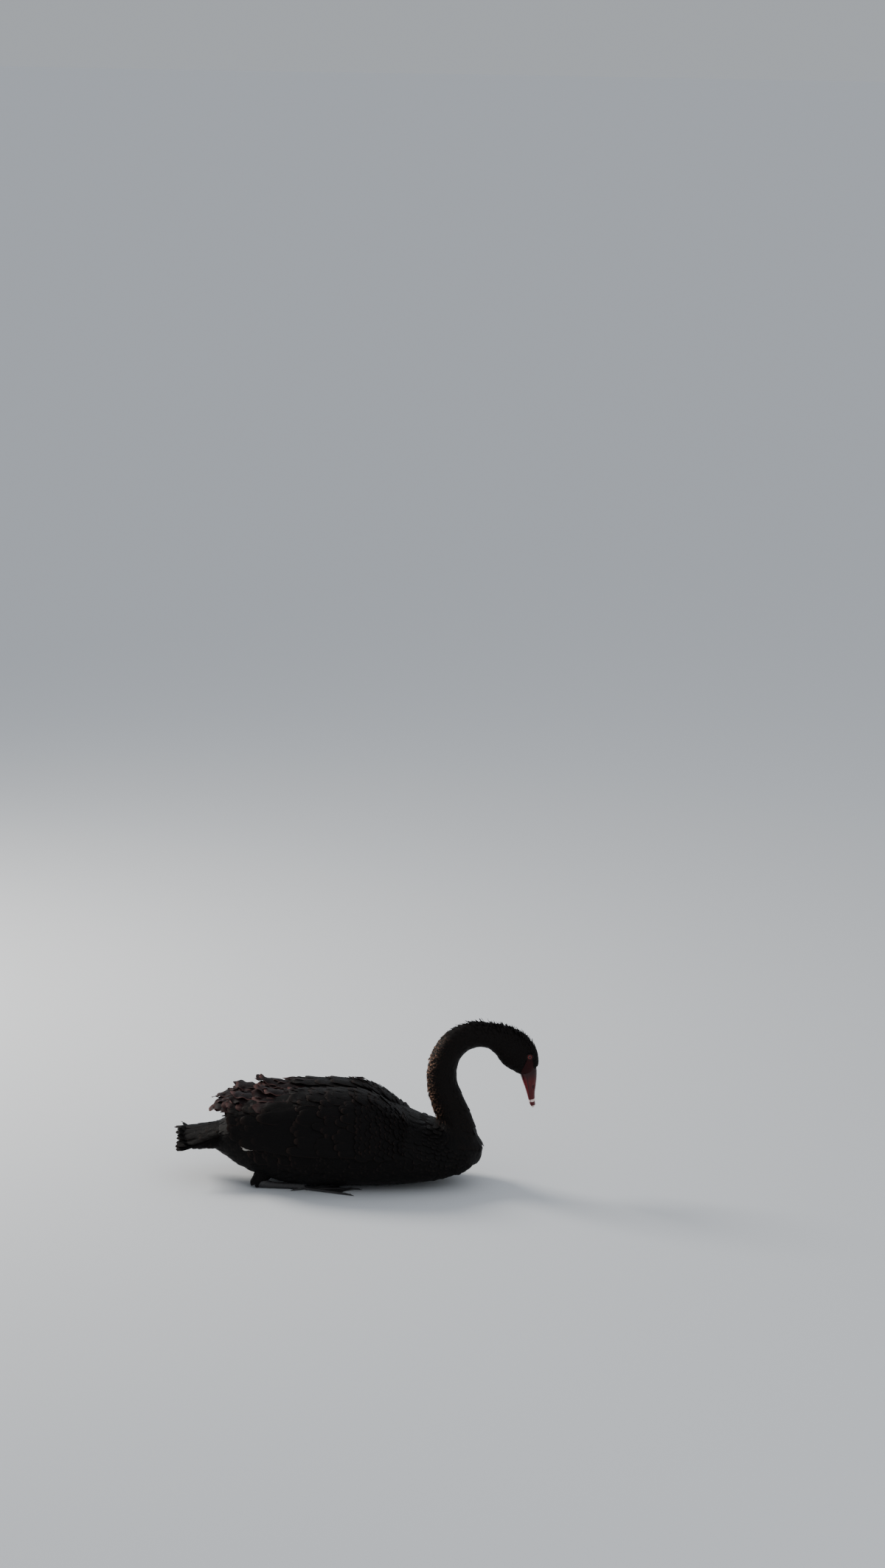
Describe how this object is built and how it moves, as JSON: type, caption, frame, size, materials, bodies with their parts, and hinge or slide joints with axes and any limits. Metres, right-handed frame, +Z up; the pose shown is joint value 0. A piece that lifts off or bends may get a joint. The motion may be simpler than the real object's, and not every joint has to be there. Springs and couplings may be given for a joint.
{
  "type": "black swan",
  "caption": "Life-size black swan afloat, neck arched over and bill pointing down, with curled wing feathers; a still model that rests on its belly.",
  "frame": {"origin": "centre of the flat under the belly, on the floor; the water would reach 60 mm above it", "axes": "+X the way the bird heads, +Y its left side, +Z up"},
  "size_m": [0.6962, 0.2537, 0.32],
  "materials": {
    "body_plumage": "near-black contour feathers with faint brown edges",
    "wing_plumage": "black-brown wing feathers with paler red-brown edges; flight feathers white",
    "tail_plumage": "black-brown tail feathers",
    "bill": "smooth red horn with a pale bar and a pale nail",
    "eye": "wet and glossy, red iris and black pupil",
    "foot": "scaly dark grey skin"
  },
  "bodies": {
    "root": {"torso": "body_plumage", "neck": "body_plumage", "head": "body_plumage", "wing_left": "wing_plumage", "wing_right": "wing_plumage", "tail": "tail_plumage", "bill_upper": "bill", "bill_lower": "bill", "eye_left": "eye", "eye_right": "eye", "leg_left": "foot", "leg_right": "foot"}
  },
  "joints": []
}
